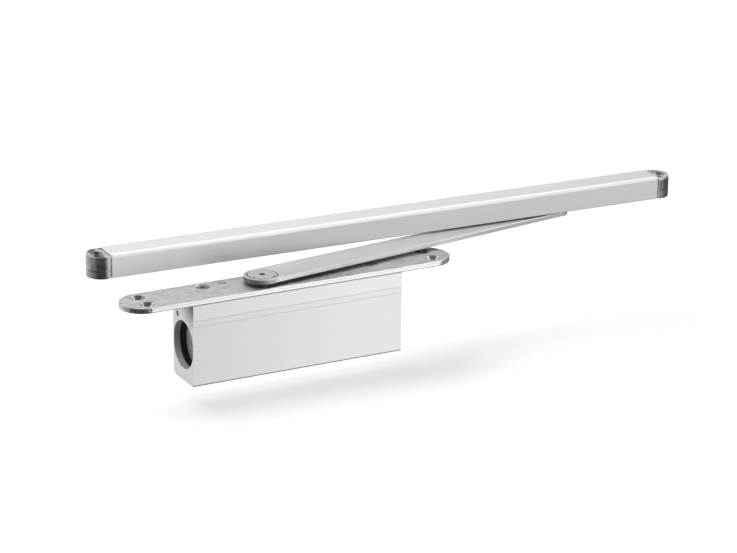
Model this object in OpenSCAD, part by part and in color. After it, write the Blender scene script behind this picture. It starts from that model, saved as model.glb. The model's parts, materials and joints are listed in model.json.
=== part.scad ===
// Concealed door damper with a slide rail: the housing sits in the top edge of the door leaf
// and hangs under a face plate, and the flat arm on its spindle runs in a rail on the frame.
// Millimetres. The origin is the middle of the four face plate screw holes, in the plane of the
// plate's underside. +X runs along the plate towards the arm's slider, +Z is up.

/* [Housing] */
// Length of the housing
housing_l = 161.5; // [150:0.5:190]
// Width of the housing and of the face plate
housing_w = 32; // [31.5:0.5:40]
// Height of the housing under the face plate
housing_h = 58.5; // [57:0.5:70]
// Distance of the housing's middle from the middle of the face plate
housing_shift = 0.75; // [-5:0.25:5]
// Radius of the housing's lower rear edge
rear_edge_r = 4.5; // [1.5:0.5:6]
// Radius of the housing's lower front edge
front_edge_r = 1.2; // [0.5:0.1:3]
// Depth of the bore's axis under the face plate
bore_depth = 32.4; // [31:0.2:36]
// Diameter of the bore that the pistons run in
bore_d = 28; // [26.5:0.5:28]
// Width of the oval pocket at each end of the bore
pocket_w = 30.5; // [30:0.25:31]
// Height of the oval pocket at each end of the bore
pocket_h = 34.2; // [33.2:0.2:36]
// Depth of the oval pocket
pocket_depth = 9; // [7:0.5:11]
// Depth of the first fine groove along the front, measured down from the plate
groove_1_z = 10.7; // [6:0.1:12]
// Depth of the second fine groove along the front, measured down from the plate
groove_2_z = 15; // [13:0.1:20]
// Width of the fine grooves
groove_w = 0.9; // [0.4:0.1:1]
// Depth of the fine grooves
groove_cut = 0.6; // [0.2:0.05:0.7]

/* [Face plate] */
// Length of the face plate
plate_l = 253; // [245:1:300]
// Thickness of the face plate
plate_t = 4; // [3.5:0.25:5]
// Diameter of the door screw holes in the plate
door_hole_d = 5.2; // [4.2:0.1:5.6]
// Diameter of every countersink at the plate's top
countersink_d = 10.6; // [9.5:0.1:11]
// Spacing of the door screw holes across the plate
door_hole_spacing = 15; // [14:0.5:16]
// Distance of the left plate screw from the housing's left end
plate_screw_left_in = 18.5; // [14:0.5:20]
// Y of the left screw that holds the plate to the housing
plate_screw_left_y = 8; // [5:0.5:9]
// Distance of the right plate screw from the housing's right end
plate_screw_right_in = 16.5; // [14:0.5:22]
// Y of the right screw that holds the plate to the housing
plate_screw_right_y = -1; // [-3:0.5:3]
// Thread diameter of the two screws that hold the plate to the housing
plate_screw_d = 5; // [4:0.5:5]
// Length of the two screws that hold the plate to the housing
plate_screw_l = 12; // [10:0.5:13]

/* [Spindle] */
// Distance of the spindle from the housing's left end
spindle_in = 60; // [58:0.5:64]
// Diameter of the spindle in its upper bearing
spindle_d = 12; // [11.5:0.5:13]
// Diameter of the spindle's lower journal and width of the square that drives the cam
journal_d = 8; // [7:0.5:8]
// Outer diameter of the upper bearing and the spindle seal
upper_bearing_d = 20; // [18:0.5:21]
// Outer diameter of the ring that holds the upper bearing down
bearing_ring_d = 23; // [22:0.5:25]
// Height of the ring that holds the upper bearing down
bearing_ring_h = 4; // [3:0.5:5]
// Height of the spindle seal
seal_h = 4; // [3:0.5:5]
// Outer diameter of the lower bush
bush_d = 14; // [12:0.5:16]
// Height of the lower bush
bush_h = 7; // [5:0.5:8]
// Thickness of the drive cam
cam_t = 8; // [6:0.5:8]
// Piston travel for each degree that the arm swings
cam_lift = 0.05; // [0.03:0.005:0.05]
// Distance from the spindle to the spring roller with the arm parallel to the housing
roller_start = 12.3; // [12:0.1:12.4]

/* [Pistons] */
// Diameter of the cam rollers
roller_d = 11; // [10.5:0.1:11.2]
// Diameter of the roller pins
roller_pin_d = 4; // [3:0.5:5]
// Length of the spring piston
spring_piston_l = 24; // [22:1:28]
// Length of the damping piston
damping_piston_l = 22; // [20:0.5:23]
// Wire of the return spring
return_wire = 3.2; // [2.5:0.1:3.4]
// Mean diameter of the return spring
return_mean_d = 20; // [18:0.5:21]
// Curls of the return spring
return_curls = 8; // [5:1:9]
// Wire of the damping piston's follower spring
follower_wire = 1.4; // [1:0.1:1.6]
// Mean diameter of the damping piston's follower spring
follower_mean_d = 11; // [10:0.5:12]
// Curls of the damping piston's follower spring
follower_curls = 5; // [3:1:6]
// Diameter of the check valve's ball
check_ball_d = 3; // [2:0.5:3.5]
// Length of the threaded end plugs
plug_l = 11; // [9:0.5:11.5]
// Length of the black ring in front of each end plug
end_ring_l = 4.3; // [3:0.1:6]
// Thickness of the black ring in front of each end plug
end_ring_t = 1.1; // [0.8:0.1:1.2]

/* [Valves] */
// Distance of the closing speed valve to the left of the spindle
closing_valve_left = 26; // [22:0.5:30]
// Distance of the opening speed valve to the right of the spindle
opening_valve_right = 60; // [40:1:62]
// Distance of the valves and their oil galleries behind the middle of the housing
gallery_y = 9; // [8:0.25:9.5]
// Depth of the oil galleries under the face plate
gallery_z = 12.5; // [12:0.25:13.5]
// Diameter of the oil galleries
gallery_d = 4; // [3.5:0.25:4.5]
// Diameter of the valve screws
valve_d = 4.4; // [4:0.1:5]
// Diameter of the access holes for the valves in the face plate
valve_access_d = 5.2; // [5.2:0.1:6]

/* [Arm] */
// Length of the arm between the spindle and the slider's stud
arm_l = 261.5; // [230:0.5:280]
// Thickness of the arm
arm_t = 3.3; // [3:0.1:5]
// Radius of the arm's end on the spindle
arm_root_r = 13; // [12.8:0.2:15]
// Width of the arm's shank at the spindle
arm_root_w = 25.2; // [22:0.2:25.4]
// Width of the arm's shank halfway
arm_mid_w = 22.4; // [18:0.2:25]
// Width of the arm's shank at the slider
arm_tip_w = 16.4; // [12:0.2:16.6]
// Radius of the arm's end on the slider
arm_tip_r = 8.5; // [8.4:0.1:10]
// Angle of the arm to the housing in the rest pose
arm_angle = 7.8; // [6:0.1:10]
// Gap between the face plate and the arm
arm_gap = 2; // [0.5:0.1:3]
// Diameter of the flat head of the arm's screw
arm_screw_head_d = 21; // [18:0.5:22]
// Thread diameter of the arm's screw
arm_screw_d = 6; // [5:0.5:6]
// Depth to which the arm's screw reaches under the arm's underside
arm_screw_reach = 16; // [10:1:20]

/* [Slider and stud] */
// Diameter of the stud that the slider turns on
stud_d = 7; // [6:0.5:8]
// Length of the slider
slider_l = 34; // [28:1:40]
// Diameter of the riveted tail of the stud in the arm
stud_tail_d = 5; // [4:0.5:6]
// Outer diameter of the clip that keeps the slider on the stud
clip_d = 11; // [10:0.5:12]

/* [Rail] */
// Length of the rail's profile
rail_l = 436; // [380:1:500]
// Width of the rail
rail_w = 22; // [21:0.5:26]
// Height of the rail
rail_h = 17; // [16:0.5:20]
// Wall of the rail
rail_wall = 1.8; // [1.5:0.1:2.2]
// Width of the slot in the rail's underside
rail_slot_w = 9; // [8.6:0.2:11]
// Radius of the rail's two upper edges
rail_edge_r = 2.6; // [1.5:0.1:3.5]
// Radius of the rail's two lower edges
rail_lower_edge_r = 0.8; // [0.4:0.1:1.2]
// Gap between the arm and the rail
rail_gap = 0.5; // [0.4:0.1:2]
// Distance from the slider's stud to the rail's right end in the rest pose
rail_right = 80.4; // [75:0.2:110]
// Angle of the rail to the housing in the rest pose
rail_angle = -1.8; // [-3:0.1:3]
// Straight part of each end cap between the rail and the half-round
cap_stub = 3; // [1:0.1:5]
// Length of the end cap's tongue in the rail
cap_tongue_l = 12; // [8:1:16]
// Distance of the end cap's top below the rail's top
cap_drop = 1.3; // [0:0.1:1.3]
// Depth of the recess in the end cap's top
cap_recess = 0.5; // [0.3:0.1:0.6]
// Width of the rim around the recess in the end cap's top
cap_rim = 1.3; // [1:0.1:2]
// Width of the shadow groove between each end cap and the rail
cap_groove_w = 0.8; // [0.4:0.1:1]
// Diameter of the frame screw holes in the end caps
frame_hole_d = 5; // [4:0.1:5.5]
// Distance of the frame screw holes from the rail's ends
frame_hole_out = 6.7; // [6.5:0.1:7.5]
// Distance of the opening stop from the rail's left end
stop_x = 14; // [13:1:60]
// Length of the opening stop
stop_l = 18; // [14:1:24]
// Length of the rubber buffer on the opening stop
buffer_l = 6; // [4:1:10]

/* [Fits] */
// Radial clearance of pistons in their bore and of shafts in their bearings
running_gap = 0.03; // [0.02:0.01:0.05]
// Gap between the cam and its rollers
cam_gap = 0.05; // [0.03:0.01:0.1]
// Side clearance of the slider in the rail
slide_gap = 0.3; // [0.2:0.05:0.4]
// Clearance of fixed inserts in their pockets
insert_gap = 0.05; // [0.02:0.01:0.1]

/* [Hidden] */
$fn = 64;
eps = 0.01;

// Heights, counted from the underside of the face plate
bore_z = -bore_depth;
bore_r = bore_d / 2;
arm_z = plate_t + arm_gap;
arm_top = arm_z + arm_t;
rail_z = arm_top + rail_gap;
rail_top = rail_z + rail_h;

// Housing
housing_x0 = housing_shift - housing_l / 2;
housing_x1 = housing_shift + housing_l / 2;
spindle_x = housing_x0 + spindle_in;
closing_valve_x = spindle_x - closing_valve_left;
opening_valve_x = spindle_x + opening_valve_right;
pocket_r = pocket_w / 2;
pocket_flat = (pocket_h - pocket_w) / 2;
plug_x0 = housing_x0 + pocket_depth;
plug_x1 = housing_x1 - pocket_depth;
plug_face_recess_d = 16;
plug_face_recess = 1.2;
plug_pin_d = 3;
plug_pin_r = 5;
plug_pin_depth = 4;
o_ring_wire = 2.2;
o_ring_groove_w = 2.6;
o_ring_groove_r = bore_r - o_ring_wire - insert_gap;
o_ring_from_face = 5;

// Face plate
door_hole_x = plate_l / 2 - housing_w / 2;
plate_screw_head_t = 2.7;
plate_screw_socket = 3;
plate_screw_socket_depth = 2;
plate_screws_at = [
    [housing_x0 + plate_screw_left_in, plate_screw_left_y],
    [housing_x1 - plate_screw_right_in, plate_screw_right_y]
];
plate_screw_depth = plate_screw_l - plate_t;
spindle_hole_d = spindle_d + 1.4;

// Spindle
bearing_ledge = 0.8;
cam_z0 = bore_z - cam_t / 2;
cam_z1 = bore_z + cam_t / 2;
bush_z1 = bore_z - bore_r - bearing_ledge / 2;
bush_z0 = bush_z1 - bush_h;
seal_z1 = -bearing_ring_h;
seal_z0 = seal_z1 - seal_h;
bearing_z0 = bore_z + bore_r + bearing_ledge;
spindle_square = spindle_d * 0.7;
bush_floor_gap = 0.3;
ring_notch_w = 3;
seal_lip = 1.2;

// Cam: its rollers stand on both sides, so what one gives the other takes
swing = 120;
cam_margin = 3;
roller_end = roller_start + cam_lift * swing;
roller_mid = (roller_start + roller_end) / 2;
cam_axis = (180 - swing) / 2;
cam_step = 4;
roller_r = roller_d / 2;
spring_roller_x = spindle_x + roller_start + cam_lift * arm_angle;
damping_roller_x = spindle_x - roller_end + cam_lift * arm_angle;

// Pistons
piston_r = bore_r - running_gap;
roller_gap = 0.5;
roller_h = cam_t;
cheek = roller_pin_d / 2 + 2.8;
slot_h = cam_t + 2 * roller_gap;
slot_depth = cheek + roller_r + roller_gap;
roller_pin_l = slot_h + 8;
seal_groove_w = 2.2;
seal_groove_depth = 1.5;
seal_from_pocket = 1.5;
spring_piston_x0 = spring_roller_x - cheek;
spring_piston_x1 = spring_piston_x0 + spring_piston_l;
damping_piston_x1 = damping_roller_x + cheek;
damping_piston_x0 = damping_piston_x1 - damping_piston_l;
return_pocket_depth = 5;
seat_t = 2;
return_x0 = spring_piston_x1 - return_pocket_depth + return_wire / 2 + insert_gap;
return_x1 = plug_x1 - plug_l - seat_t - return_wire / 2 - insert_gap;
follower_pocket_depth = 4;
spring_seal_x = spring_piston_l - return_pocket_depth - seal_from_pocket - seal_groove_w;
damping_seal_x = damping_piston_l - follower_pocket_depth - seal_from_pocket - seal_groove_w;
follower_plug_pocket = 5;
follower_x0 = plug_x0 + plug_l - follower_plug_pocket + follower_wire / 2 + insert_gap;
follower_x1 = damping_piston_x0 + follower_pocket_depth - follower_wire / 2 - insert_gap;
check_bore_d = check_ball_d + 1.2;
check_port_d = check_ball_d - 1;
check_z = bore_z + 9;
check_depth = 7;
check_ball_set_back = sqrt(pow(check_ball_d / 2, 2) - pow(check_port_d / 2, 2)) + insert_gap;
check_retainer_t = 1.5;
oil_hole_d = 3;

// Valves
gallery_ball_r = gallery_d / 2 - running_gap;
gallery_ball_in = gallery_ball_r + 0.3;
valve_seat_z = -gallery_z - gallery_d / 2;
valve_top = plate_t - 0.1;
valve_hole_d = valve_d + 2 * running_gap;
valve_port_d = 2.4;
valve_tip_l = 3;
valve_neck_d = valve_d - 2;
valve_neck_l = 2.4;
valve_neck_z = -5;
valve_slot_w = 0.8;
valve_slot_depth = 1;
valves_at = [closing_valve_x, opening_valve_x];

// Arm and slider
arm_dir = [cos(arm_angle), sin(arm_angle)];
stud_at = [spindle_x + arm_l * arm_dir[0], arm_l * arm_dir[1]];
arm_screw_head_t = 1.6;
arm_screw_proud = 0.1;
arm_recess_gap = 0.5;
head_mark_d = 1.8;
head_mark_depth = 0.35;
head_marks = [[-8, -3.8], [5.3, -7.6]];
arm_socket = 4;
arm_socket_depth = 3.5;
lip_t = rail_wall + 0.2;
slider_z0 = rail_z + lip_t + slide_gap;
slider_z1 = rail_top - rail_wall - slide_gap;
slider_w = rail_w - 2 * rail_wall - 2 * slide_gap;
clip_t = 0.8;
clip_pocket_depth = 3.4;
clip_z = slider_z1 - clip_pocket_depth + 0.1;
clip_groove = 0.8;
stud_rivet_d = stud_tail_d + 2;
stud_rivet_t = 1;

// Rail: built along +X from its left end, with the stud at rail_left
rail_left = rail_l - rail_right;
rail_inner_w = rail_w - 2 * rail_wall;
rail_inner_z0 = rail_z + lip_t;
rail_inner_z1 = rail_top - rail_wall;
cap_r = rail_w / 2;
cap_tongue_gap = 0.1;
cap_groove_depth = rail_wall - 0.3;
cap_top = rail_top - cap_drop;
cap_groove_end = 0.6;
cap_ring_d = 11.4;
cap_ring_in_d = 8.8;
cap_ring_depth = 1.5;
frame_sink_d = 9.4;
frame_sink_depth = 2.6;
stop_screw_d = 5;
stop_screw_l = rail_inner_z1 - rail_z - 1;

// Outlines
// A flat bar with two round ends and a shank that narrows from one to the other
module arm_outline() {
    circle(arm_root_r);
    translate([arm_l, 0])
        circle(arm_tip_r);
    polygon([
        [0, arm_root_w / 2],
        [0, -arm_root_w / 2],
        [arm_l / 2, -arm_mid_w / 2],
        [arm_l, -arm_tip_w / 2],
        [arm_l, arm_tip_w / 2],
        [arm_l / 2, arm_mid_w / 2]
    ]);
}

// A bar along X with full-round ends, centred
module round_bar(len, w) {
    square([len - w, w], center = true);
    for (side = [-1, 1])
        translate([side * (len - w) / 2, 0])
            circle(w / 2);
}

// An upright oval with half-round top and bottom, centred
module oval(w, h) {
    rotate(90)
        round_bar(h, w);
}

// Shapes along X: the outline's first axis is Y and its second is Z
module along_x(x, len) {
    translate([x, 0, 0])
        rotate([90, 0, 90])
            linear_extrude(len)
                children();
}

// A round bar along X
module rod_x(x, len, r) {
    translate([x, 0, 0])
        rotate([0, 90, 0])
            cylinder(h = len, r = r);
}

module at_bore() {
    translate([0, 0, bore_z])
        children();
}

module at_spindle() {
    translate([spindle_x, 0, 0])
        children();
}

module at_stud() {
    translate([stud_at[0], stud_at[1], 0])
        children();
}

// The rail's own frame: X along the rail from its left end, Z as in the part
module at_rail() {
    at_stud()
        rotate([0, 0, rail_angle])
            translate([-rail_left, 0, 0])
                children();
}

// A ring of round section around X
module o_ring_x(x, r) {
    translate([x, 0, 0])
        rotate([0, 90, 0])
            rotate_extrude()
                translate([r, 0])
                    circle(o_ring_wire / 2);
}

// Housing
module housing_outline() {
    hw = housing_w / 2;
    difference() {
        translate([-hw, -housing_h])
            square([housing_w, housing_h]);
        translate([-hw - eps, -housing_h - eps])
            square(front_edge_r + eps);
        translate([hw - rear_edge_r, -housing_h - eps])
            square(rear_edge_r + eps);
        for (z = [groove_1_z, groove_2_z])
            translate([-hw - eps, -z - groove_w / 2])
                square([groove_cut + eps, groove_w]);
    }
    translate([-hw + front_edge_r, -housing_h + front_edge_r])
        circle(front_edge_r);
    translate([hw - rear_edge_r, -housing_h + rear_edge_r])
        circle(rear_edge_r);
}

module housing() {
    color("gainsboro")
        difference() {
            along_x(housing_x0, housing_l)
                housing_outline();
            at_bore()
                rod_x(housing_x0 - 1, housing_l + 2, bore_r);
            at_bore()
                along_x(housing_x0 - 1, pocket_depth + 1)
                    oval(pocket_w, pocket_h);
            at_bore()
                along_x(plug_x1, pocket_depth + 1)
                    oval(pocket_w, pocket_h);
            at_spindle() {
                translate([0, 0, bore_z])
                    cylinder(h = -bore_z + 1, d = spindle_hole_d);
                translate([0, 0, bearing_z0])
                    cylinder(h = -bearing_z0 + 1, d = upper_bearing_d);
                translate([0, 0, seal_z1])
                    cylinder(h = bearing_ring_h + 1, d = bearing_ring_d);
                translate([0, 0, bush_z0])
                    cylinder(h = -bush_z0 + bore_z, d = bush_d);
            }
            for (at = plate_screws_at)
                translate([at[0], at[1], -plate_screw_depth - 1])
                    cylinder(h = plate_screw_depth + 2, d = plate_screw_d);
            translate([0, gallery_y, -gallery_z]) {
                rod_x(housing_x0 - 1, closing_valve_x - housing_x0 + 1, gallery_d / 2);
                rod_x(opening_valve_x, housing_x1 - opening_valve_x + 1, gallery_d / 2);
            }
            for (x = valves_at)
                translate([x, gallery_y, 0]) {
                    translate([0, 0, valve_seat_z])
                        cylinder(h = -valve_seat_z + 1, d = valve_hole_d);
                    translate([0, 0, bore_z])
                        cylinder(h = valve_seat_z - bore_z + eps, d = valve_port_d);
                }
        }
}

module gallery_balls() {
    color("silver")
        for (x = [housing_x0 + gallery_ball_in, housing_x1 - gallery_ball_in])
            translate([x, gallery_y, -gallery_z])
                sphere(r = gallery_ball_r);
}

// End plugs and the black rings in front of them
module end_plug(pocket) {
    difference() {
        rod_x(0, plug_l, bore_r - insert_gap);
        rod_x(-1, plug_face_recess + 1, plug_face_recess_d / 2);
        for (side = [-1, 1])
            translate([0, 0, side * plug_pin_r])
                rod_x(-1, plug_pin_depth + 1, plug_pin_d / 2);
        rotate([0, 90, 0])
            rotate_extrude()
                translate([o_ring_groove_r, o_ring_from_face - o_ring_groove_w / 2])
                    square([bore_r, o_ring_groove_w]);
        if (pocket > 0)
            rod_x(plug_l - pocket, pocket + 1, (follower_mean_d + follower_wire) / 2 + 0.4);
    }
}

module left_end_plug() {
    color("darkgray")
        translate([plug_x0, 0, bore_z])
            end_plug(follower_plug_pocket);
}

module right_end_plug() {
    color("darkgray")
        translate([plug_x1, 0, bore_z])
            mirror([1, 0, 0])
                end_plug(0);
}

module plug_o_rings() {
    color([0.1, 0.1, 0.1])
        at_bore()
            for (x = [plug_x0 + o_ring_from_face, plug_x1 - o_ring_from_face])
                o_ring_x(x, o_ring_groove_r + o_ring_wire / 2);
}

module end_ring(x) {
    color([0.08, 0.08, 0.08])
        at_bore()
            along_x(x, end_ring_l)
                difference() {
                    oval(pocket_w - 2 * insert_gap, pocket_h - 2 * insert_gap);
                    oval(pocket_w - 2 * end_ring_t, pocket_h - 2 * end_ring_t);
                }
}

module left_end_ring() {
    end_ring(plug_x0 - end_ring_l);
}

module right_end_ring() {
    end_ring(plug_x1);
}

// Face plate
module countersunk_hole(d) {
    sink_h = (countersink_d - d) / 2;
    translate([0, 0, -1])
        cylinder(h = plate_t + 2, d = d);
    translate([0, 0, plate_t - sink_h])
        cylinder(h = sink_h + eps, d1 = d, d2 = countersink_d + 2 * eps);
}

module face_plate() {
    color("lightgray")
        difference() {
            linear_extrude(plate_t)
                round_bar(plate_l, housing_w);
            for (x = [-1, 1], y = [-1, 1])
                translate([x * door_hole_x, y * door_hole_spacing / 2, 0])
                    countersunk_hole(door_hole_d);
            for (at = plate_screws_at)
                translate([at[0], at[1], 0])
                    countersunk_hole(plate_screw_d + 2 * insert_gap);
            at_spindle()
                translate([0, 0, -1])
                    cylinder(h = plate_t + 2, d = spindle_hole_d);
            for (x = valves_at)
                translate([x, gallery_y, -1])
                    cylinder(h = plate_t + 2, d = valve_access_d);
        }
}

module plate_screw() {
    head_d = countersink_d - 0.8;
    sink_h = (head_d - plate_screw_d) / 2;
    difference() {
        union() {
            translate([0, 0, -plate_screw_depth])
                cylinder(h = plate_screw_l - 0.5, r = plate_screw_d / 2 - insert_gap);
            translate([0, 0, plate_t - 0.4 - sink_h])
                cylinder(h = sink_h, d1 = plate_screw_d - 2 * insert_gap, d2 = head_d - 2 * insert_gap);
        }
        translate([0, 0, plate_t - 0.4 - plate_screw_socket_depth])
            cylinder(h = plate_screw_socket_depth + 1, d = plate_screw_socket / cos(30), $fn = 6);
    }
}

module plate_screws() {
    color("silver")
        for (at = plate_screws_at)
            translate([at[0], at[1], 0])
                plate_screw();
}

// Spindle and its bearings
module upper_bearing() {
    color("dimgray")
        at_spindle()
            translate([0, 0, bearing_z0])
                difference() {
                    cylinder(h = seal_z0 - bearing_z0, r = upper_bearing_d / 2 - insert_gap);
                    translate([0, 0, -1])
                        cylinder(h = seal_z0 - bearing_z0 + 2, r = spindle_d / 2 + running_gap);
                }
}

module spindle_seal() {
    color([0.12, 0.12, 0.12])
        at_spindle()
            translate([0, 0, seal_z0])
                difference() {
                    cylinder(h = seal_h, r = upper_bearing_d / 2 - insert_gap);
                    translate([0, 0, -1])
                        cylinder(h = seal_h + 2, r = spindle_d / 2 + running_gap);
                    translate([0, 0, seal_lip])
                        difference() {
                            cylinder(h = seal_h, r = upper_bearing_d / 2 - seal_lip);
                            translate([0, 0, -1])
                                cylinder(h = seal_h + 2, r = spindle_d / 2 + seal_lip);
                        }
                }
}

module bearing_ring() {
    color("gray")
        at_spindle()
            difference() {
                translate([0, 0, seal_z1])
                    cylinder(h = bearing_ring_h, r = bearing_ring_d / 2 - insert_gap);
                translate([0, 0, seal_z1 - 1])
                    cylinder(h = bearing_ring_h + 2, r = spindle_d / 2 + 0.7);
                for (a = [0, 90])
                    rotate([0, 0, a])
                        translate([-bearing_ring_d, -ring_notch_w / 2, -1.5])
                            cube([2 * bearing_ring_d, ring_notch_w, 2]);
            }
}

module lower_bush() {
    color("darkgoldenrod")
        at_spindle()
            translate([0, 0, bush_z0])
                difference() {
                    cylinder(h = bush_h, r = bush_d / 2 - insert_gap);
                    translate([0, 0, -1])
                        cylinder(h = bush_h + 2, r = journal_d / 2 + running_gap);
                }
}

module spindle() {
    color("silver")
        at_spindle()
            rotate([0, 0, arm_angle])
                difference() {
                    union() {
                        translate([0, 0, bush_z0 + bush_floor_gap])
                            cylinder(h = cam_z0 - bush_z0 - bush_floor_gap, d = journal_d);
                        translate([-journal_d / 2, -journal_d / 2, cam_z0])
                            cube([journal_d, journal_d, cam_t]);
                        translate([0, 0, cam_z1])
                            cylinder(h = arm_z - cam_z1, d = spindle_d);
                        translate([-spindle_square / 2, -spindle_square / 2, arm_z])
                            cube([spindle_square, spindle_square, arm_t - arm_screw_head_t]);
                    }
                    translate([0, 0, arm_z - arm_screw_reach - 1])
                        cylinder(h = arm_screw_reach + arm_t + 2, d = arm_screw_d);
                }
}

// The cam's outline lies one roller radius inside the path of the roller's centre
function lift_angle(a) = min(max(abs(a), cam_axis - cam_margin), 180 - cam_axis + cam_margin);
function path_r(a) = roller_mid + cam_lift * (lift_angle(a) - 90);
function path_slope(a) = (path_r(a + 0.01) - path_r(a - 0.01)) / 0.02 * 180 / PI;
function cam_point(a) =
    let (r = path_r(a), lean = atan2(path_slope(a), r), off = roller_r + cam_gap)
    [r * cos(a) - off * cos(a - lean), r * sin(a) - off * sin(a - lean)];

module drive_cam() {
    color("slategray")
        at_spindle()
            rotate([0, 0, arm_angle])
                translate([0, 0, cam_z0])
                    difference() {
                        rotate([0, 0, cam_axis])
                            linear_extrude(cam_t)
                                polygon([for (a = [-180 : cam_step : 179]) cam_point(a)]);
                        translate([-journal_d / 2, -journal_d / 2, -1])
                            cube([journal_d, journal_d, cam_t + 2]);
                    }
}

// Pistons: a fork for the roller at the cam's side, a groove for the seal near the other end
module piston_blank(len, seal_x) {
    difference() {
        rod_x(0, len, piston_r);
        translate([-1, -bore_r, -slot_h / 2])
            cube([slot_depth + 1, bore_d, slot_h]);
        translate([cheek, 0, -roller_pin_l / 2])
            cylinder(h = roller_pin_l, d = roller_pin_d);
        rotate([0, 90, 0])
            rotate_extrude()
                translate([piston_r - seal_groove_depth, seal_x])
                    square([bore_r, seal_groove_w]);
    }
}

module piston_seal(seal_x) {
    translate([seal_x + insert_gap, 0, 0])
        rotate([0, 90, 0])
            difference() {
                cylinder(h = seal_groove_w - 2 * insert_gap, r = piston_r);
                translate([0, 0, -1])
                    cylinder(h = seal_groove_w + 2, r = piston_r - seal_groove_depth + insert_gap);
            }
}

module roller_pin(x) {
    color("silver")
        translate([x, 0, bore_z - roller_pin_l / 2])
            cylinder(h = roller_pin_l, d = roller_pin_d);
}

module roller(x) {
    color("gray")
        translate([x, 0, bore_z - roller_h / 2])
            difference() {
                cylinder(h = roller_h, d = roller_d);
                translate([0, 0, -1])
                    cylinder(h = roller_h + 2, r = roller_pin_d / 2 + running_gap);
            }
}

module at_spring_piston() {
    translate([spring_piston_x0, 0, bore_z])
        children();
}

module at_damping_piston() {
    translate([damping_piston_x1, 0, bore_z])
        mirror([1, 0, 0])
            children();
}

module spring_piston() {
    color("silver")
        at_spring_piston()
            difference() {
                piston_blank(spring_piston_l, spring_seal_x);
                rod_x(
                    spring_piston_l - return_pocket_depth,
                    return_pocket_depth + 1,
                    (return_mean_d + return_wire) / 2 + 0.2
                );
                rod_x(-1, spring_piston_l + 2, oil_hole_d / 2);
            }
}

module spring_piston_seal() {
    color("ivory")
        at_spring_piston()
            piston_seal(spring_seal_x);
}

module spring_roller_pin() {
    roller_pin(spring_roller_x);
}

module spring_roller() {
    roller(spring_roller_x);
}

module damping_piston() {
    color("silver")
        difference() {
            at_damping_piston()
                difference() {
                    piston_blank(damping_piston_l, damping_seal_x);
                    rod_x(
                        damping_piston_l - follower_pocket_depth,
                        follower_pocket_depth + 1,
                        (follower_mean_d + follower_wire) / 2 + 0.3
                    );
                }
            translate([0, 0, check_z]) {
                rod_x(damping_piston_x0 - 1, check_depth + 1, check_bore_d / 2);
                rod_x(damping_piston_x0, damping_piston_l + 1, check_port_d / 2);
            }
        }
}

module damping_piston_seal() {
    color("ivory")
        at_damping_piston()
            piston_seal(damping_seal_x);
}

module damping_roller_pin() {
    roller_pin(damping_roller_x);
}

module damping_roller() {
    roller(damping_roller_x);
}

module check_ball() {
    color("lightgray")
        translate([damping_piston_x0 + check_depth - check_ball_set_back, 0, check_z])
            sphere(d = check_ball_d);
}

module check_retainer() {
    color("gray")
        translate([damping_piston_x0 + 1, 0, check_z])
            difference() {
                rod_x(0, check_retainer_t, check_bore_d / 2);
                rod_x(-1, check_retainer_t + 2, check_port_d / 2);
            }
}

// Springs: one tube swept along a helix, with a closed curl at each end
spring_rings = 8;
spring_sides = 6;
end_curls = 1;

// The helix rises slowly over the closed end curls and evenly between them
function helix_x(t, curls, x0, x1, wire) =
    let (
        end_rise = wire + 0.45,
        rest = x1 - x0 - 2 * end_rise * end_curls
    )
    t <= end_curls ? x0 + end_rise * t
    : t >= curls - end_curls ? x1 - end_rise * (curls - t)
    : x0 + end_rise * end_curls + rest * (t - end_curls) / (curls - 2 * end_curls);
function helix_points(curls, x0, x1, wire, mean_d) = [
    for (i = [0 : curls * spring_rings])
        let (a = 360 * i / spring_rings)
        [helix_x(i / spring_rings, curls, x0, x1, wire), mean_d / 2 * sin(a), mean_d / 2 * cos(a)]
];
function tube_ring(points, i, r) =
    let (
        last = len(points) - 1,
        step = points[min(i + 1, last)] - points[max(i - 1, 0)],
        run = step / norm(step),
        out = [0, points[i][1], points[i][2]],
        side = cross(run, out) / norm(cross(run, out)),
        up = cross(side, run)
    )
    [for (k = [0 : spring_sides - 1])
        let (a = 360 * k / spring_sides)
        points[i] + r * (cos(a) * up + sin(a) * side)];
function tube_faces(rings, sides) = concat(
    [for (k = [1 : sides - 2]) [0, k, k + 1]],
    [for (i = [0 : rings - 2], k = [0 : sides - 1])
        let (a = i * sides + k, b = i * sides + (k + 1) % sides)
        each [[a, a + sides, b + sides], [a, b + sides, b]]],
    [for (k = [1 : sides - 2])
        let (base = (rings - 1) * sides)
        [base, base + k + 1, base + k]]
);
// Least distance between the tube's surface and itself, over points half a curl or more apart
function least_gap(points, wire) = min([
    for (i = [0 : len(points) - 1], j = [i + spring_rings / 2 : 1 : len(points) - 1])
        norm(points[i] - points[j])
]) - wire;

module spring_tube(points, wire) {
    polyhedron(
        points = [for (i = [0 : len(points) - 1]) each tube_ring(points, i, wire / 2)],
        faces = tube_faces(len(points), spring_sides),
        convexity = 6
    );
}

module return_spring() {
    points = helix_points(return_curls, return_x0, return_x1, return_wire, return_mean_d);
    echo(return_spring_least_gap = least_gap(points, return_wire));
    color("darkslategray")
        at_bore()
            spring_tube(points, return_wire);
}

module follower_spring() {
    points = helix_points(follower_curls, follower_x0, follower_x1, follower_wire, follower_mean_d);
    echo(follower_spring_least_gap = least_gap(points, follower_wire));
    color("darkslategray")
        at_bore()
            spring_tube(points, follower_wire);
}

module spring_seat() {
    color("gray")
        at_bore()
            difference() {
                rod_x(plug_x1 - plug_l - seat_t, seat_t, bore_r - 0.4);
                rod_x(plug_x1 - plug_l - seat_t - 1, seat_t + 2, return_mean_d / 4);
            }
}

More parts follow.
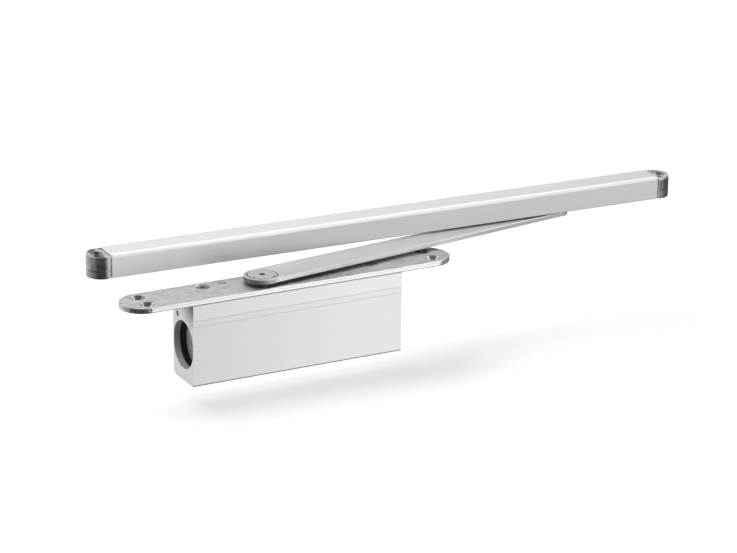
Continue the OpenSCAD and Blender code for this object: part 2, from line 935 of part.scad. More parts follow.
// Speed valves
module valve(x) {
    tip_z = valve_seat_z + 0.4;
    color("silver")
        translate([x, gallery_y, 0])
            difference() {
                union() {
                    translate([0, 0, tip_z + valve_tip_l])
                        cylinder(h = valve_top - tip_z - valve_tip_l, d = valve_d);
                    translate([0, 0, tip_z])
                        cylinder(h = valve_tip_l, d1 = valve_port_d - 0.6, d2 = valve_d);
                }
                translate([0, 0, valve_neck_z])
                    difference() {
                        cylinder(h = valve_neck_l, d = valve_d + 1);
                        translate([0, 0, -1])
                            cylinder(h = valve_neck_l + 2, d = valve_neck_d);
                    }
                translate([-valve_d, -valve_slot_w / 2, valve_top - valve_slot_depth])
                    cube([2 * valve_d, valve_slot_w, valve_slot_depth + 1]);
            }
}

module closing_valve() {
    valve(closing_valve_x);
}

module opening_valve() {
    valve(opening_valve_x);
}

module valve_o_rings() {
    wire = (valve_d - valve_neck_d) / 2;
    color([0.1, 0.1, 0.1])
        for (x = valves_at)
            translate([x, gallery_y, valve_neck_z + valve_neck_l / 2])
                rotate_extrude()
                    translate([valve_d / 2 - wire / 2 + running_gap / 2, 0])
                        circle(wire / 2 - running_gap / 2);
}

// Arm
module arm() {
    color("lightgray")
        at_spindle()
            rotate([0, 0, arm_angle])
                translate([0, 0, arm_z])
                    difference() {
                        linear_extrude(arm_t)
                            arm_outline();
                        translate([-spindle_square / 2, -spindle_square / 2, -1])
                            cube([spindle_square, spindle_square, arm_t + 1]);
                        translate([0, 0, arm_t - arm_screw_head_t])
                            cylinder(h = arm_screw_head_t + 1, r = arm_screw_head_d / 2 + arm_recess_gap);
                        translate([arm_l, 0, -1])
                            cylinder(h = arm_t + 2, d = stud_tail_d);
                        translate([arm_l, 0, -eps])
                            cylinder(h = stud_rivet_t + eps, d = stud_rivet_d);
                    }
}

module arm_screw() {
    color("silver")
        at_spindle()
            translate([0, 0, arm_top - arm_screw_head_t])
                difference() {
                    union() {
                        cylinder(h = arm_screw_head_t + arm_screw_proud, d = arm_screw_head_d);
                        translate([0, 0, -arm_screw_reach])
                            cylinder(h = arm_screw_reach + eps, r = arm_screw_d / 2 - insert_gap);
                    }
                    translate([0, 0, arm_screw_head_t - arm_socket_depth])
                        cylinder(h = arm_socket_depth + 1, d = arm_socket / cos(30), $fn = 6);
                    for (at = head_marks)
                        translate([at[0], at[1], arm_screw_head_t + arm_screw_proud - head_mark_depth])
                            cylinder(h = 1, d = head_mark_d);
                }
}

module slider_stud() {
    color("silver")
        at_stud()
            difference() {
                union() {
                    translate([0, 0, arm_z])
                        cylinder(h = stud_rivet_t, d = stud_rivet_d);
                    translate([0, 0, arm_z])
                        cylinder(h = arm_t, d = stud_tail_d);
                    translate([0, 0, arm_top])
                        cylinder(h = clip_z + clip_t + 1 - arm_top, d = stud_d);
                }
                translate([0, 0, clip_z])
                    difference() {
                        cylinder(h = clip_t, d = stud_d + 1);
                        translate([0, 0, -1])
                            cylinder(h = clip_t + 2, d = stud_d - 2 * clip_groove);
                    }
            }
}

module slider_clip() {
    color("dimgray")
        at_stud()
            translate([0, 0, clip_z])
                difference() {
                    cylinder(h = clip_t, d = clip_d);
                    translate([0, 0, -1])
                        cylinder(h = clip_t + 2, d = stud_d - 2 * clip_groove);
                    translate([0, -(stud_d - 2 * clip_groove) / 2, -1])
                        cube([clip_d, stud_d - 2 * clip_groove, clip_t + 2]);
                }
}

// Slider: a plastic block between the rail's lips and its top wall
module slider() {
    color([0.15, 0.15, 0.16])
        at_stud()
            rotate([0, 0, rail_angle])
                difference() {
                    translate([0, 0, slider_z0])
                        linear_extrude(slider_z1 - slider_z0)
                            square([slider_l, slider_w], center = true);
                    translate([0, 0, slider_z0 - 1])
                        cylinder(h = slider_z1 - slider_z0 + 2, r = stud_d / 2 + running_gap);
                    translate([0, 0, slider_z1 - clip_pocket_depth])
                        cylinder(h = clip_pocket_depth + 1, d = clip_d + 1);
                }
}

// Rail
module rail_outline() {
    hw = rail_w / 2;
    difference() {
        union() {
            translate([-hw, rail_z + rail_lower_edge_r])
                square([rail_w, rail_h - rail_edge_r - rail_lower_edge_r]);
            translate([-hw + rail_lower_edge_r, rail_z])
                square([rail_w - 2 * rail_lower_edge_r, 2 * rail_lower_edge_r]);
            translate([-hw + rail_edge_r, rail_top - 2 * rail_edge_r])
                square([rail_w - 2 * rail_edge_r, 2 * rail_edge_r]);
            for (side = [-1, 1])
                translate([side * (hw - rail_edge_r), rail_top - rail_edge_r])
                    circle(rail_edge_r);
            for (side = [-1, 1])
                translate([side * (hw - rail_lower_edge_r), rail_z + rail_lower_edge_r])
                    circle(rail_lower_edge_r);
        }
        translate([-rail_inner_w / 2, rail_inner_z0])
            square([rail_inner_w, rail_inner_z1 - rail_inner_z0]);
        translate([-rail_slot_w / 2, rail_z - 1])
            square([rail_slot_w, lip_t + 2]);
    }
}

module rail() {
    color("whitesmoke")
        at_rail()
            along_x(0, rail_l)
                rail_outline();
}

// End cap for the rail's left end: half-round outside, a tongue inside
module rail_cap() {
    cap_h = cap_top - rail_z;
    difference() {
        union() {
            translate([0, 0, rail_z])
                linear_extrude(cap_h)
                    cap_outline(cap_r);
            translate([-eps, 0, 0])
                along_x(0, cap_tongue_l + eps)
                    translate([-rail_inner_w / 2 + cap_tongue_gap, rail_inner_z0 + cap_tongue_gap])
                        square([
                            rail_inner_w - 2 * cap_tongue_gap,
                            rail_inner_z1 - rail_inner_z0 - 2 * cap_tongue_gap
                        ]);
        }
        translate([0, 0, cap_top - cap_recess])
            linear_extrude(cap_recess + 1)
                difference() {
                    union() {
                        cap_outline(cap_r - cap_rim);
                        translate([-cap_stub, -cap_r + cap_rim])
                            square([cap_stub + eps, 2 * (cap_r - cap_rim)]);
                    }
                    translate([-frame_hole_out, 0])
                        circle(d = cap_ring_d);
                }
        for (side = [-1, 1])
            translate([-cap_groove_w, side * cap_r - cap_groove_depth, rail_z - 1])
                cube([cap_groove_w + eps, 2 * cap_groove_depth, cap_h + 1 - cap_groove_end]);
        translate([-frame_hole_out, 0, 0]) {
            translate([0, 0, rail_z - 1])
                cylinder(h = cap_h + 2, d = frame_hole_d);
            translate([0, 0, cap_top - cap_ring_depth])
                cylinder(h = cap_ring_depth + 1, d = cap_ring_in_d);
            translate([0, 0, rail_z - eps])
                cylinder(h = frame_sink_depth, d1 = frame_sink_d, d2 = frame_hole_d);
        }
    }
}

module cap_outline(r) {
    translate([-cap_stub, 0])
        intersection() {
            circle(r);
            translate([-2 * r, -r])
                square([2 * r, 2 * r]);
        }
    translate([-cap_stub, -r])
        square([cap_stub, 2 * r]);
}

module left_rail_cap() {
    color("dimgray")
        at_rail()
            rail_cap();
}

module right_rail_cap() {
    color("dimgray")
        at_rail()
            translate([rail_l, 0, 0])
                mirror([1, 0, 0])
                    rail_cap();
}

// Opening stop: a block in the rail, held by its screw, with a rubber buffer
module opening_stop() {
    color("gray")
        at_rail()
            difference() {
                along_x(stop_x, stop_l)
                    translate([-rail_inner_w / 2 + slide_gap, rail_inner_z0])
                        square([
                            rail_inner_w - 2 * slide_gap,
                            rail_inner_z1 - rail_inner_z0 - slide_gap
                        ]);
                translate([stop_x + stop_l / 2, 0, rail_z])
                    cylinder(h = rail_h, d = stop_screw_d);
            }
}

module stop_screw() {
    color("dimgray")
        at_rail()
            translate([stop_x + stop_l / 2, 0, rail_inner_z1 - stop_screw_l])
                difference() {
                    cylinder(h = stop_screw_l, r = stop_screw_d / 2 - insert_gap);
                    translate([0, 0, -1])
                        cylinder(h = 3.5, d = 2.5 / cos(30), $fn = 6);
                }
}

module stop_buffer() {
    color([0.1, 0.1, 0.1])
        at_rail()
            along_x(stop_x + stop_l, buffer_l)
                translate([-rail_inner_w / 2 + 1, rail_inner_z0 + 0.3])
                    square([rail_inner_w - 2, rail_inner_z1 - rail_inner_z0 - 0.6]);
}

housing();
face_plate();
plate_screws();
left_end_plug();
right_end_plug();
plug_o_rings();
left_end_ring();
right_end_ring();
upper_bearing();
spindle_seal();
bearing_ring();
lower_bush();
gallery_balls();
spindle();
drive_cam();
arm();
arm_screw();
slider_stud();
slider_clip();
spring_piston();
spring_piston_seal();
spring_roller_pin();
spring_roller();
return_spring();
spring_seat();
damping_piston();
damping_piston_seal();
damping_roller_pin();
damping_roller();
follower_spring();
check_ball();
check_retainer();
closing_valve();
opening_valve();
valve_o_rings();
slider();
rail();
left_rail_cap();
right_rail_cap();
opening_stop();
stop_screw();
stop_buffer();
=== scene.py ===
"""Looks of the concealed door damper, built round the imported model."""

import json
import math

import bmesh
import bpy
import numpy as np
from mathutils import Matrix, Vector

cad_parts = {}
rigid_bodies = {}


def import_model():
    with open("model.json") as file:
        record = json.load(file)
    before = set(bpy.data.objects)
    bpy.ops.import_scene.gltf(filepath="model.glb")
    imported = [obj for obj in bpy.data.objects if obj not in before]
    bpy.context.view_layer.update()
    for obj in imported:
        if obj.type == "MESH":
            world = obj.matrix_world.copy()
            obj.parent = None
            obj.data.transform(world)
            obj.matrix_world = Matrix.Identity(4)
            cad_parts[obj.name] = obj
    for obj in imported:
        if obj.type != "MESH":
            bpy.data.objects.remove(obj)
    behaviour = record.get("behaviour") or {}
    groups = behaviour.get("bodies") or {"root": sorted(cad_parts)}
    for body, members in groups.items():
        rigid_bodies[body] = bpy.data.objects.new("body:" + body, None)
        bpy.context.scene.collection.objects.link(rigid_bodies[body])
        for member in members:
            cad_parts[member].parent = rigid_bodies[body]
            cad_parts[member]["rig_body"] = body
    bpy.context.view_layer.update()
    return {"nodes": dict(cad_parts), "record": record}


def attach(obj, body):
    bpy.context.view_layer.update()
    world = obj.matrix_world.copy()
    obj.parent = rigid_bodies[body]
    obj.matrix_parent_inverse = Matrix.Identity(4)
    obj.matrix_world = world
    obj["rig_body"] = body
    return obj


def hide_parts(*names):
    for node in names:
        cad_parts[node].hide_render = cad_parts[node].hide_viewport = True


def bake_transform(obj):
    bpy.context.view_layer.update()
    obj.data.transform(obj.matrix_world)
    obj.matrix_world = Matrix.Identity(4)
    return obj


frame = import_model()

# Places of the part that the finishes and edges refer to, in metres
SPINDLE_X = -0.0200
BORE_Z = -0.0324
BORE = (0.0, 0.0, BORE_Z)

# Housing: its faces, grooves, lower edge and end pockets
HOUSING_LEFT = -0.0800
HOUSING_SIDE = 0.0160
HOUSING_MIDDLE = 0.00075
GROOVES = ((-0.01125, -0.01015), (-0.01555, -0.01445))
GROOVE_TOP = -0.0102
HOUSING_EDGE_Y = -0.0148
HOUSING_EDGE_Z = -0.0574
POCKET_X = (0.0716, 0.0804)
POCKET_Y = (-0.0154, 0.0154)
POCKET_Z = (-0.0500, -0.0148)

# Plate: heights on its side, the stretch of painted shade on its left end, holes and the way to
# their far flank
PLATE_TOP = 0.00385
PLATE_LINE = (0.0022, 0.0030)
PLATE_FOOT = 0.0009
PLATE_HALF = 0.1265
PLATE_RADIUS = 0.0160
END_SHADE_X = (-0.1240, -0.1098)
END_SHADE_Y = -0.0065
END_SHADE_Z = 0.0034
HOLE_X = 0.1105
HOLE_Y = 0.0075
COUNTERSINK = (0.0020, 0.0056)
FAR_FLANK = (0.236, 0.972)
PLATE_SCREWS_TOP = 0.0045

# Arm, and painted shade on the wide head of its screw: a rim and an arc round the spindle's
# axis
ARM_TURN = math.radians(7.8)
ARM_BOTTOM = 0.00605
ARM_SIDE = (0.0062, 0.0088)
ARM_MIDDLE = 0.045
HEAD_RIM = (0.0098, 0.0106)
HEAD_RIM_FROM = (0.0045, -0.003)
HEAD_ARC = (0.0087, 0.0092)
HEAD_ARC_BELOW = -0.0042
DIMPLES = ((-0.0280, -0.0038), (-0.0147, -0.0076))
DIMPLE_R = 0.0009

# Rail and its end caps
RAIL_TURN = math.radians(-1.8)
RAIL_TOP = 0.02676
RAIL_FRONT = 0.0242
RAIL_MIDDLE = (0.10155, 0.03981)
RAIL_HALF = 0.2175
CAP_HOLES = ((-0.1230, 0.0469), (0.3261, 0.0327))
CAP_SEAT = (0.0024, 0.0045)
CAP_TOP = 0.0240
LEFT_CAP_BAND = (-0.1202, -0.1050)
LEFT_CAP_FRONT = (-0.1275, -0.1205)
LEFT_CAP_END = -0.1278
RIGHT_CAP_BAND = (0.3150, 0.3206)
RIGHT_CAP = 0.2

# Soft border of a crisp mark, and of a less crisp one
CRISP = 0.0001
SOFTER = 0.0002


# Shader maths: an expression on values adds its Math nodes
class Value:
    """A number that varies over a surface, held as an output socket."""

    def __init__(self, finish, socket):
        self.finish = finish
        self.socket = socket

    def _with(self, operation, *others, **settings):
        settings["operation"] = operation
        return self.finish.node("ShaderNodeMath", settings, dict(enumerate((self, *others))))

    def __add__(self, other):
        return self._with("ADD", other)

    __radd__ = __add__

    def __mul__(self, other):
        return self._with("MULTIPLY", other)

    __rmul__ = __mul__

    def __sub__(self, other):
        return self._with("SUBTRACT", other)

    def __rsub__(self, other):
        return self * -1.0 + other

    def __truediv__(self, other):
        return self._with("DIVIDE", other)

    def __pow__(self, other):
        return self._with("POWER", other)

    def __abs__(self):
        return self._with("ABSOLUTE")

    def over(self, limit):
        """One above a limit, zero below it."""
        return self._with("GREATER_THAN", limit)

    def under(self, limit):
        """One below a limit, zero above it."""
        return self._with("LESS_THAN", limit)

    def least(self, other):
        return self._with("MINIMUM", other)

    def most(self, other):
        return self._with("MAXIMUM", other)

    def clamped(self):
        return self._with("ADD", 0.0, use_clamp=True)

    def rising(self, start, rate):
        """Zero up to a start, then growing with the value until it is one."""
        return ((self - start) * rate).clamped()

    def falling(self, start, rate):
        """Zero down to a start, then growing as the value falls until it is one."""
        return ((start - self) * rate).clamped()

    def within(self, low, high, soft):
        """One between two limits, zero outside, with a soft border inside them."""
        return self.rising(low, 1.0 / soft) * self.falling(high, 1.0 / soft)


class Finish:
    """A node tree under construction, with its object coordinates at hand."""

    def __init__(self, tree):
        self.tree = tree
        tree.nodes.clear()
        self.place = self.node("ShaderNodeTexCoord", output="Object")

    def node(self, kind, settings=None, inputs=None, output=0):
        """Adds a node: settings first, then the values or links of its inputs."""
        made = self.tree.nodes.new(kind)
        for name, value in (settings or {}).items():
            if name == "stops":
                ramp = made.color_ramp
                while len(ramp.elements) < len(value):
                    ramp.elements.new(1.0)
                for element, (at, light) in zip(ramp.elements, value):
                    element.position = at
                    element.color = (light, light, light, 1.0)
            else:
                setattr(made, name, value)
        for name, value in (inputs or {}).items():
            if isinstance(value, Value):
                self.tree.links.new(value.socket, made.inputs[name])
            else:
                made.inputs[name].default_value = value
        return Value(self, made.outputs[output]) if made.outputs else made

    def axes(self):
        """The three object coordinates, in metres."""
        split = self.node("ShaderNodeSeparateXYZ", {}, {0: self.place})
        return [Value(self, out) for out in split.socket.node.outputs]

    def noise(self, scale, detail, rough, turn=(0.0, 0.0, 0.0)):
        """Cloudy noise from 0 to 1, with scale in features a metre on each turned axis."""
        turned = self.node(
            "ShaderNodeMapping",
            {"vector_type": "TEXTURE"},
            {"Vector": self.place, "Rotation": turn},
        )
        at = self.node("ShaderNodeVectorMath", {"operation": "MULTIPLY"}, {0: turned, 1: scale})
        return self.node(
            "ShaderNodeTexNoise",
            {"noise_dimensions": "3D"},
            {"Vector": at, "Scale": 1.0, "Detail": detail, "Roughness": rough},
        )

    def ramp(self, value, *stops):
        """A grey that follows a value, from stops of (value, linear light)."""
        return self.node("ShaderNodeValToRGB", {"stops": stops}, {0: value})

    def blend(self, share, first, second):
        """A colour between two, by a share from 0 to 1."""
        colours = {0: share, 6: first, 7: second}
        return self.node("ShaderNodeMix", {"data_type": "RGBA"}, colours, output=2)

    def bump(self, height, strength, distance):
        inputs = {"Height": height, "Strength": strength, "Distance": distance}
        return self.node("ShaderNodeBump", {}, inputs)

    def surface(self, **inputs):
        """The Principled shader with its sockets, joined to the output."""
        names = {key.replace("_", " "): value for key, value in inputs.items()}
        shader = self.node("ShaderNodeBsdfPrincipled", {}, names)
        self.node("ShaderNodeOutputMaterial", {}, {"Surface": shader})


def material(name):
    made = bpy.data.materials.new(name)
    made.use_nodes = True
    return made, Finish(made.node_tree)


def shade(value):
    """Linear light of a grey written as 0 to 255 on the screen."""
    v = value / 255.0
    return v / 12.92 if v <= 0.04045 else ((v + 0.055) / 1.055) ** 2.4


def tint(value, warm=0.0):
    """A grey of 0 to 255 as a linear colour, a little warmer where asked."""
    s = shade(value)
    return (s * (1.0 + warm), s, s * (1.0 - warm), 1.0)


def away(x, y, at_x, at_y):
    """Distance of a point from a straight axis, on the two coordinates across it."""
    return ((x - at_x) ** 2 + (y - at_y) ** 2) ** 0.5


def grained_metal(
    name,
    tone,
    rough,
    grain=(6.0, 900.0, 900.0),
    depth=0.25,
    spread=0.10,
    tone_spread=0.05,
    turn=(0.0, 0.0, 0.0),
    height=0.00005,
    places=None,
    warm=0.0,
):
    """Brushed metal: long fine streaks in tone, gloss and height, over slow clouds.

    places(f) gives what varies over the piece: how dark it is, mostly with painted shade,
    how much it lacks the gloss of bare metal, and added roughness.
    """
    made, f = material(name)
    fine = f.noise(grain, 3.0, 0.6, turn=turn)
    coarse = f.noise(tuple(g * 0.22 for g in grain), 4.0, 0.6, turn=turn)
    cloud = f.noise((14.0, 14.0, 14.0), 3.0, 0.5)
    streak = fine * 0.6 + coarse * 0.4
    colour = f.blend(
        (streak * 0.7 + cloud * 0.3 - 0.5) * 2.2 + 0.5,
        tint(tone * (1.0 - tone_spread), warm),
        tint(min(255, tone * (1.0 + tone_spread)), warm),
    )
    gloss = rough + (streak - 0.5) * spread * 2.0 + (cloud - 0.5) * 0.06
    metallic = 1.0
    if places:
        dark, dull, rougher = places(f)
        # Darker by the dark share: painted shade, and stains where a piece has them
        colour = f.blend(dark, colour, tint(tone * 0.45, warm))
        gloss = gloss + rougher
        metallic = 1 - dull * 0.8
    f.surface(
        Base_Color=colour,
        Metallic=metallic,
        Roughness=gloss.clamped(),
        Normal=f.bump(streak, depth, height),
    )
    return made


def cap_light_and_shade(f):
    """Painted light and shade on the end caps: painted highlights on the seats, tops, bands
    beside the rail and the left end; painted shade on the left front and the right cap.
    """
    x, y, z = f.axes()
    # Painted highlights on seats, tops, bands and left end; painted shade on left front and
    # right cap
    seats = 0.0
    for hole in CAP_HOLES:
        seats = away(x, y, *hole).within(*CAP_SEAT, CRISP) * 0.16 + seats
    right_cap = x.over(RIGHT_CAP)
    tops = z.over(CAP_TOP) * (right_cap * 0.14 + 0.04)
    left_band = x.within(*LEFT_CAP_BAND, 0.0009) * 0.28
    right_band = x.within(*RIGHT_CAP_BAND, 0.0006) * 0.30
    left_front = x.within(*LEFT_CAP_FRONT, 0.0015) * 0.17
    left_end = x.under(LEFT_CAP_END) * 0.07
    return seats + tops + left_band + right_band - left_front + left_end - right_cap * 0.10


def rough_cast(name):
    """Dark plated die-casting: mottled tone, uneven gloss, fine pits, and painted light and
    shade.
    """
    made, f = material(name)
    blotch = f.noise((260.0, 260.0, 260.0), 5.0, 0.65)
    patch = f.noise((90.0, 90.0, 60.0), 3.0, 0.6)
    pits = f.noise((1500.0, 1500.0, 1500.0), 2.0, 0.5)
    lines = f.noise((60.0, 60.0, 1300.0), 3.0, 0.6)
    gloss = 0.30 + (lines - 0.5) * 0.4 + (blotch - 0.5) * 0.2 + (pits - 0.5) * 0.1
    f.surface(
        Base_Color=f.ramp(
            blotch * 0.35 + patch * 0.20 + lines * 0.45 + cap_light_and_shade(f),
            (0.30, shade(86)),
            (0.50, shade(152)),
            (0.66, shade(220)),
        ),
        Metallic=0.9,
        Roughness=gloss.clamped(),
        Normal=f.bump(blotch * 0.4 + lines * 0.4 + pits * 0.2, 0.5, 0.00030),
    )
    return made


def turned_metal(name, tone, rough, centre, pitch=0.00045):
    """Lathe-turned metal: fine rings round an axis along X, with a little noise."""
    made, f = material(name)
    x, y, z = f.axes()
    turns = away(y, z, *centre[1:]) * (2 * math.pi / pitch)
    ring = f.node("ShaderNodeMath", {"operation": "SINE"}, {0: turns})
    cloud = f.noise((120.0, 120.0, 120.0), 4.0, 0.6)
    f.surface(
        Base_Color=f.blend(
            cloud * 0.7 + ring * 0.15 + 0.15,
            tint(tone * 0.9),
            tint(min(255, tone * 1.08)),
        ),
        Metallic=0.25,
        Roughness=(rough + (cloud - 0.5) * 0.15).clamped(),
        Normal=f.bump(ring, 0.25, 0.00003),
    )
    return made


def moulded(name, tone, rough, warm=0.0):
    """Plastic or rubber: fine leathery texture and slight changes of gloss."""
    made, f = material(name)
    skin = f.noise((2200.0, 2200.0, 2200.0), 2.0, 0.5)
    cloud = f.noise((90.0, 90.0, 90.0), 3.0, 0.5)
    f.surface(
        Base_Color=f.blend(cloud, tint(tone * 0.85, warm), tint(tone * 1.15, warm)),
        Metallic=0.0,
        Roughness=(rough + (cloud - 0.5) * 0.12).clamped(),
        Normal=f.bump(skin, 0.2, 0.00008),
    )
    return made


def housing_places(f):
    """Painted shade in the two grooves, on the left end under the plate, towards the left
    and along the lower edge; raw walls in the end pockets, with painted shade in them
    that grows lighter towards the bottom.
    """
    x, y, z = f.axes()
    side = abs(y).over(HOUSING_SIDE - 0.0004)
    # Painted shade in the two grooves
    groove_shade = sum(z.within(low, high, 0.0003) for low, high in GROOVES)
    groove_shade = groove_shade * abs(y).over(HOUSING_SIDE - 0.0008)
    # Painted shade on the left end, at its front top corner under the plate
    corner = 1 - (((y + HOUSING_SIDE) * 42.0) ** 2 + (z * 52.0) ** 2) ** 0.5
    end = x.under(HOUSING_LEFT + 0.00005) * (corner.clamped() * 1.15 + 0.02)
    # Painted shade, darker towards the left and a little darker below the upper groove
    side_shade = (x.falling(0.05, 1.48) + z.under(GROOVE_TOP) * 0.045) * side
    # Painted shade along the lower front edge
    edge = z.under(HOUSING_EDGE_Z) * y.under(HOUSING_EDGE_Y) * 0.75
    pocket = abs(x - HOUSING_MIDDLE).within(*POCKET_X, CRISP)
    pocket = pocket * y.within(*POCKET_Y, CRISP) * z.within(*POCKET_Z, CRISP)
    # Painted shade in the end pockets, lighter towards the bottom
    depth = ((z - BORE_Z) * 42.0 + 0.66).least(0.69)
    dark = groove_shade * 0.22 + end + side_shade + edge + pocket * depth
    return dark.clamped(), pocket, pocket * 0.3


def arm_places(f):
    """Painted shade on the sheared side at its middle, hub and far end, on the top, more
    towards its front edge, and on the underside.
    """
    x, y, z = f.axes()
    side = z.within(*ARM_SIDE, SOFTER)
    # Painted shade on the sheared side at its middle, hub and far end
    middle = abs(x - ARM_MIDDLE).falling(0.02, 5.0)
    hub = x.falling(-0.012, 120.0) * 0.68
    far_end = x.rising(0.105, 14.0) * 0.38
    # Painted shade on the top, more towards its front edge and less to the right
    across = y * math.cos(ARM_TURN) - (x - SPINDLE_X) * math.sin(ARM_TURN)
    top = z.over(ARM_SIDE[1]) * (0.375 - across * 9.0 - x.rising(0.03, 1.0) * 0.9)
    # Painted shade on the underside, added to the sum here
    dark = side * (middle + hub + far_end) + top + z.under(ARM_BOTTOM) * 0.6
    return dark, 0.0, side * x.rising(0.06, 20.0) * 0.25


def screw_places(f):
    """The left screw in the plate is dark, and the right one dull. The wide head on
    the arm has painted shade: a dark rim, a faint arc and two dark dimples.
    """
    x, y, z = f.axes()
    low = z.under(PLATE_SCREWS_TOP)
    left = low * x.under(0.0)
    right = low - left
    reach = away(x, y, SPINDLE_X, 0.0)
    rim_x, rim_y = HEAD_RIM_FROM
    # Painted shade round the edge of the head at the sides and back, and an arc of it at the
    # front
    rim = reach.within(*HEAD_RIM, CRISP) * abs(x - SPINDLE_X).over(rim_x) * y.over(rim_y)
    arc = reach.within(*HEAD_ARC, CRISP) * y.under(HEAD_ARC_BELOW)
    head_shade = rim * 0.6 + arc * 0.35
    # Painted shade in two dimples
    for dimple in DIMPLES:
        head_shade = away(x, y, *dimple).under(DIMPLE_R) * 0.8 + head_shade
    dark = left * 0.75 + right * 0.2 + (1 - low) * head_shade.clamped()
    return dark, left * 0.2 + right * 0.9, left * 0.1


def plate_places(f):
    """Stains on the plate's top, and painted shade over it, more under the arm; the top is
    darker to the right. The polished side has painted shade towards the left, a thin
    darker line, painted shade along its foot and on the front of its left end, and
    painted shade on the far flank of each countersink.
    """
    x, y, z = f.axes()
    top = z.over(PLATE_TOP)
    side = 1 - top
    stain = f.noise((110.0, 260.0, 260.0), 5.0, 0.7).rising(0.47, 6.0)
    right = x.rising(0.005, 14.0)
    # Painted shade under the arm
    shade_under_arm = abs(x - 0.022).falling(0.05, 20.0)
    # Painted shade over the whole top, a little more to the right
    top_shade = 0.36 + x.rising(-0.11, 12.0) * 0.05
    stained = top * (shade_under_arm * 0.34 + stain * 0.22 + right * 0.07 + top_shade)
    # Painted shade on the side, more towards the left
    shaded = side * (x.falling(-0.03, 12.0) * 0.10 + 0.04)
    # A thin darker line on the side, and painted shade along its foot
    lines = z.within(*PLATE_LINE, SOFTER) * 0.16 + z.under(PLATE_FOOT) * 0.35
    # Painted shade, broken up by noise, on the front of the rounded left end
    end_shade_grain = f.noise((700.0, 700.0, 900.0), 3.0, 0.6).rising(0.32, 6.0)
    end_shade = x.within(*END_SHADE_X, 0.0010) * y.under(END_SHADE_Y) * z.under(END_SHADE_Z) * end_shade_grain
    # From the middle of the nearest of the four holes
    across = x - HOLE_X + x.under(0.0) * (2 * HOLE_X)
    along = y - HOLE_Y + y.under(0.0) * (2 * HOLE_Y)
    reach = away(across, along, 0.0, 0.0)
    facing = (across * FAR_FLANK[0] + along * FAR_FLANK[1]) / reach
    # Painted shade on the far flank of each countersink
    sink_shade = reach.within(*COUNTERSINK, CRISP) * facing.rising(0.34, 8.0)
    dark = stained + shaded + lines + side * end_shade + side * sink_shade * 0.58
    return dark.clamped(), top * right * 0.7, side * -0.20


def rail_places(f):
    """Painted shade on the rail's top, darker to the right, and on its front and the edge
    between them, also darker to the right.
    """
    x, y, z = f.axes()
    top = z.over(RAIL_TOP)
    front = z.under(RAIL_FRONT)
    corner = 1 - (top + front).clamped()
    along = x.rising(0.0, 3.2)
    front_dark = x.rising(-0.05, 18.0) * 0.25 + x.rising(0.08, 9.0) * 0.06
    # Painted shade on the top, the front and the edge between them, darker to the right
    dark = top * (along * 0.15 + 0.21) + front * front_dark + corner * (along * 0.25 + 0.05)
    return dark, 0.0, 0.0


# Tone 0 to 255, roughness, and what differs from the usual brushed metal
BRUSHED = {
    "housing_aluminium": dict(
        tone=243,
        rough=0.37,
        grain=(9.0, 2400.0, 2400.0),
        tone_spread=0.03,
        height=0.00010,
        places=housing_places,
        warm=0.009,
    ),
    "plate_steel": dict(
        tone=238,
        rough=0.42,
        grain=(14.0, 1500.0, 1500.0),
        depth=0.50,
        height=0.0004,
        places=plate_places,
    ),
    "arm_steel": dict(
        tone=252,
        rough=0.38,
        grain=(260.0, 420.0, 420.0),
        depth=0.06,
        spread=0.05,
        tone_spread=0.012,
        turn=(0.0, 0.0, ARM_TURN),
        places=arm_places,
    ),
    "rail_aluminium": dict(
        tone=252,
        rough=0.48,
        grain=(6.0, 1200.0, 1200.0),
        depth=0.15,
        tone_spread=0.015,
        turn=(0.0, 0.0, RAIL_TURN),
        places=rail_places,
        warm=0.006,
    ),
    "screw_steel": dict(
        tone=199,
        rough=0.36,
        grain=(500.0, 500.0, 500.0),
        depth=0.06,
        spread=0.04,
        tone_spread=0.01,
        places=screw_places,
    ),
    "steel": dict(tone=190, rough=0.25, grain=(900.0, 900.0, 900.0), depth=0.15),
    "bronze": dict(tone=180, rough=0.4, grain=(800.0, 800.0, 800.0)),
    "spring_steel": dict(tone=120, rough=0.3, grain=(500.0, 500.0, 500.0)),
}
finishes = {name: grained_metal(name, **values) for name, values in BRUSHED.items()}
finishes["cap_metal"] = rough_cast("cap_metal")
finishes["plug_aluminium"] = turned_metal("plug_aluminium", 246, 0.42, BORE)
finishes["ring_black"] = moulded("ring_black", 14, 0.45)
finishes["rubber"] = moulded("rubber", 34, 0.6)
finishes["seal_polymer"] = moulded("seal_polymer", 205, 0.45, warm=0.05)
finishes["slider_polymer"] = moulded("slider_polymer", 48, 0.45)

slots = {s["node"]: s["material_slot"] for s in frame["record"]["subparts"]}
for node, piece in frame["nodes"].items():
    piece.data.materials.clear()
    piece.data.materials.append(finishes[slots[node]])


# Copies of solids: edges broken by a small round, and copies of springs
MM = 0.001
WELD = 0.000002
FLAT = math.radians(0.4)
SHARP = math.radians(30.0)


def linked(name, data):
    """A new object in the scene."""
    made = bpy.data.objects.new(name, data)
    bpy.context.scene.collection.objects.link(made)
    return made


def welded(source):
    """A solid's mesh for editing, with its coincident vertices joined."""
    work = bmesh.new()
    work.from_mesh(source.data)
    bmesh.ops.remove_doubles(work, verts=work.verts, dist=WELD)
    return work


